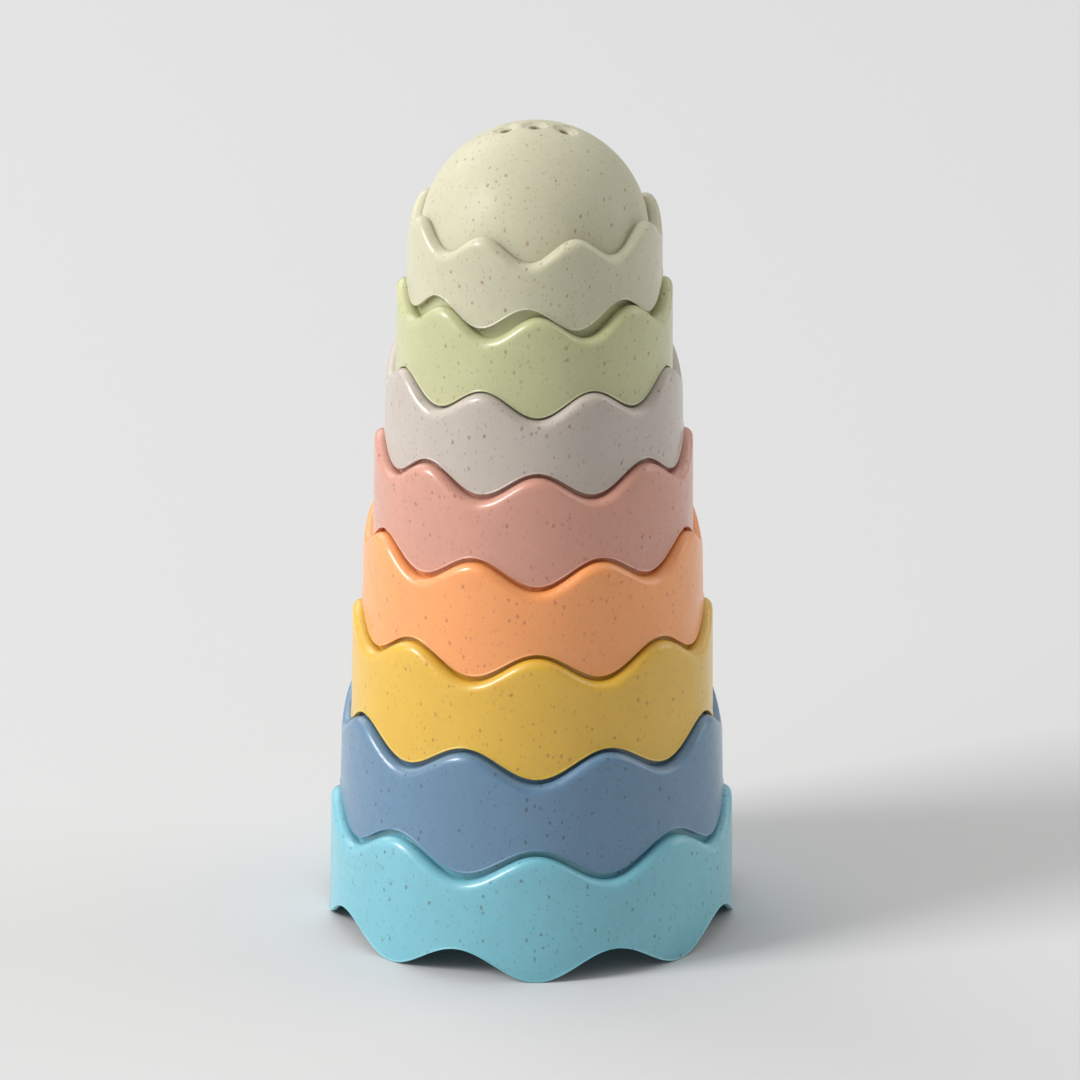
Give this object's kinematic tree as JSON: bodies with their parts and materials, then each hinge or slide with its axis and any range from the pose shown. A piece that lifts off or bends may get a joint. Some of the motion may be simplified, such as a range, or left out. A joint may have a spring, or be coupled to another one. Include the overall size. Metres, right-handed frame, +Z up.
{
  "type": "stacking cup tower",
  "caption": "Tower of stacking cups with wavy rims, each smaller than the one below and lifting straight off it, topped by a domed cup with sprinkler holes.",
  "frame": {"origin": "on the floor at the tower's axis", "axes": "+Z up the tower, -Y towards the front lobe of the lowest cup"},
  "size_m": [0.1044, 0.1044, 0.2108],
  "materials": {
    "aqua_plastic": "satin moulded plastic with fine plant-fibre specks",
    "blue_plastic": "satin moulded plastic with fine plant-fibre specks",
    "yellow_plastic": "satin moulded plastic with fine plant-fibre specks",
    "orange_plastic": "satin moulded plastic with fine plant-fibre specks",
    "pink_plastic": "satin moulded plastic with fine plant-fibre specks",
    "grey_plastic": "satin moulded plastic with fine plant-fibre specks",
    "green_plastic": "satin moulded plastic with fine plant-fibre specks",
    "cream_plastic": "satin moulded plastic with fine plant-fibre specks"
  },
  "bodies": {
    "aqua_cup": {"aqua_cup": "aqua_plastic"},
    "blue_cup": {"blue_cup": "blue_plastic"},
    "yellow_cup": {"yellow_cup": "yellow_plastic"},
    "orange_cup": {"orange_cup": "orange_plastic"},
    "pink_cup": {"pink_cup": "pink_plastic"},
    "grey_cup": {"grey_cup": "grey_plastic"},
    "green_cup": {"green_cup": "green_plastic"},
    "dome_cup": {"dome_cup": "cream_plastic"}
  },
  "joints": [
    {"name": "lift_blue_cup", "type": "slide", "parent": "aqua_cup", "child": "blue_cup", "axis": [0, 0, 1], "range_m": [0, 0.03]},
    {"name": "lift_yellow_cup", "type": "slide", "parent": "blue_cup", "child": "yellow_cup", "axis": [0, 0, 1], "range_m": [0, 0.03]},
    {"name": "lift_orange_cup", "type": "slide", "parent": "yellow_cup", "child": "orange_cup", "axis": [0, 0, 1], "range_m": [0, 0.03]},
    {"name": "lift_pink_cup", "type": "slide", "parent": "orange_cup", "child": "pink_cup", "axis": [0, 0, 1], "range_m": [0, 0.03]},
    {"name": "lift_grey_cup", "type": "slide", "parent": "pink_cup", "child": "grey_cup", "axis": [0, 0, 1], "range_m": [0, 0.03]},
    {"name": "lift_green_cup", "type": "slide", "parent": "grey_cup", "child": "green_cup", "axis": [0, 0, 1], "range_m": [0, 0.03]},
    {"name": "lift_dome_cup", "type": "slide", "parent": "green_cup", "child": "dome_cup", "axis": [0, 0, 1], "range_m": [0, 0.03]}
  ]
}
